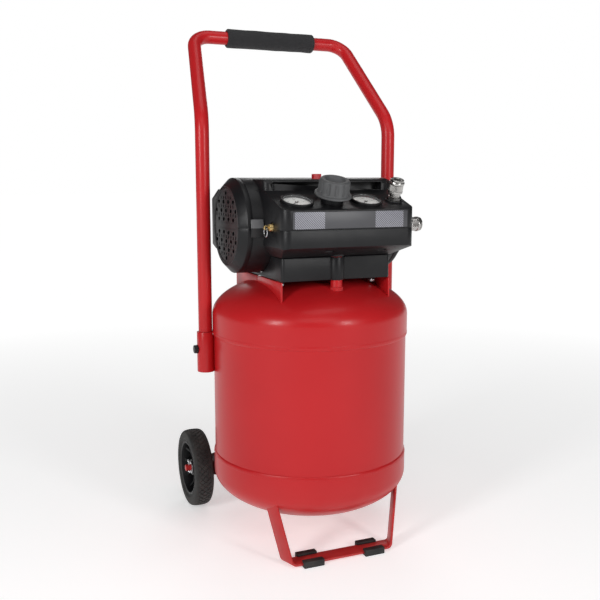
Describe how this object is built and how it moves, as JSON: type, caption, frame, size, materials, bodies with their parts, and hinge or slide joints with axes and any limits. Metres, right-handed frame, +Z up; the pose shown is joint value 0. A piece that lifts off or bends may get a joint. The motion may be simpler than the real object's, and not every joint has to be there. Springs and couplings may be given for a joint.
{
  "type": "vertical tank compressor",
  "caption": "Portable oil-free air compressor: upright domed tank on two wheels and a front foot, tube handle with foam grip, pump shroud and gauge console on top.",
  "frame": {"origin": "on the floor, at the middle of the whole object's box", "axes": "+Z up, the console faces -Y, +X is the viewer's right when facing the console"},
  "size_m": [0.4178, 0.4537, 0.952],
  "materials": {
    "red_paint": "satin red paint with fine orange peel",
    "rubber": "matte black rubber",
    "foam": "fine textured black foam",
    "tyre": "matte black tyre rubber",
    "zinc": "zinc plated steel",
    "black_steel": "black oxide steel",
    "black_plastic": "black moulded plastic, fine texture",
    "grey_plastic": "grey moulded plastic",
    "red_plastic": "red moulded plastic",
    "label_grey": "satin grey printed label",
    "lamination": "electrical steel",
    "copper": "copper",
    "alloy": "die-cast aluminium",
    "brass": "machined brass",
    "nickel": "nickel plate",
    "dial_white": "printed white dial",
    "clear_lens": "clear lens",
    "needle_black": "black painted needle"
  },
  "bodies": {
    "frame": {"tank_shell": "red_paint", "top_head": "red_paint", "bottom_head": "red_paint", "outlet_pipe": "red_paint", "drain_valve": "brass", "foot_strip": "red_paint", "foot_pads": "rubber", "wheel_brackets": "red_paint", "axle": "red_paint", "axle_fittings": "zinc", "handle_tube": "red_paint", "handle_grip": "foam", "handle_sockets": "red_paint", "socket_bolts": "black_steel", "pump_brackets": "red_paint", "isolators": "rubber", "base_skirt": "black_plastic", "fixing_screws": "zinc", "lower_shroud": "black_plastic", "upper_shroud": "black_plastic", "rear_cover": "black_plastic", "end_grilles": "black_plastic", "shroud_latches": "grey_plastic", "motor_frame": "zinc", "stator": "lamination", "bearings": "zinc", "crankcase": "alloy", "pump_barrel": "alloy", "valve_plate": "zinc", "cylinder_head": "alloy", "discharge_tube": "copper", "check_valve": "brass", "label_plate": "label_grey", "manifold": "alloy", "regulator_stem": "black_plastic", "gauge_cases": "black_plastic", "gauge_dials": "dial_white", "gauge_lenses": "clear_lens", "couplers": "nickel", "safety_valve": "brass", "pressure_switch": "black_plastic", "cord_gland": "rubber"},
    "left_wheel": {"left_rim": "black_plastic", "left_tyre": "tyre"},
    "right_wheel": {"right_rim": "black_plastic", "right_tyre": "tyre"},
    "crank": {"motor_shaft": "zinc", "rotor": "copper", "cooling_fans": "grey_plastic", "eccentric": "zinc"},
    "piston": {"piston_rod": "alloy"},
    "knob": {"regulator_knob": "grey_plastic"},
    "left_pointer": {"left_needle": "needle_black"},
    "right_pointer": {"right_needle": "needle_black"},
    "top_collar": {"top_sleeve": "nickel"},
    "side_collar": {"side_sleeve": "nickel"},
    "relief_stem": {"relief_pin": "brass"},
    "relief_loop": {"relief_ring": "zinc"},
    "switch": {"switch_tab": "red_plastic"},
    "drain": {"drain_screw": "brass"}
  },
  "joints": [
    {"name": "left_wheel_spin", "type": "hinge", "parent": "frame", "child": "left_wheel", "pos_m": [-0.1705, 0.14935, 0.0775], "axis": [1, 0, 0], "continuous": true},
    {"name": "right_wheel_spin", "type": "hinge", "parent": "frame", "child": "right_wheel", "pos_m": [0.1705, 0.14935, 0.0775], "axis": [1, 0, 0], "continuous": true},
    {"name": "motor_spin", "type": "hinge", "parent": "frame", "child": "crank", "pos_m": [0, -0.04665, 0.583], "axis": [1, 0, 0], "continuous": true},
    {"name": "piston_stroke", "type": "slide", "parent": "frame", "child": "piston", "axis": [0, 1, 0], "range_m": [-0.018, 0]},
    {"name": "regulator_turn", "type": "hinge", "parent": "frame", "child": "knob", "pos_m": [-0.0185, -0.18536, 0.6378], "axis": [0, -0.3256, 0.9455], "range_deg": [-300, 300]},
    {"name": "tank_gauge", "type": "hinge", "parent": "frame", "child": "left_pointer", "pos_m": [-0.082, -0.18161, 0.62692], "axis": [0, -0.3256, 0.9455], "range_deg": [-270, 0]},
    {"name": "outlet_gauge", "type": "hinge", "parent": "frame", "child": "right_pointer", "pos_m": [0.045, -0.18161, 0.62692], "axis": [0, -0.3256, 0.9455], "range_deg": [-270, 0]},
    {"name": "top_coupler_sleeve", "type": "slide", "parent": "frame", "child": "top_collar", "axis": [0, 0.3256, -0.9455], "range_m": [0, 0.004], "stiffness_N_per_m": 1500},
    {"name": "side_coupler_sleeve", "type": "slide", "parent": "frame", "child": "side_collar", "axis": [-1, 0, 0], "range_m": [0, 0.004], "stiffness_N_per_m": 1500},
    {"name": "relief_pull", "type": "slide", "parent": "frame", "child": "relief_stem", "axis": [-1, 0, 0], "range_m": [0, 0.003], "stiffness_N_per_m": 2000},
    {"name": "relief_ring_swing", "type": "hinge", "parent": "relief_stem", "child": "relief_loop", "pos_m": [-0.131, -0.16745, 0.58579], "axis": [0, 1, 0], "range_deg": [-3, 80]},
    {"name": "power_switch", "type": "slide", "parent": "frame", "child": "switch", "axis": [0, 0, 1], "range_m": [-0.005, 0]},
    {"name": "drain_turn", "type": "hinge", "parent": "frame", "child": "drain", "pos_m": [0, -0.04665, 0.03], "axis": [0, 0, 1], "range_deg": [-360, 0]}
  ]
}
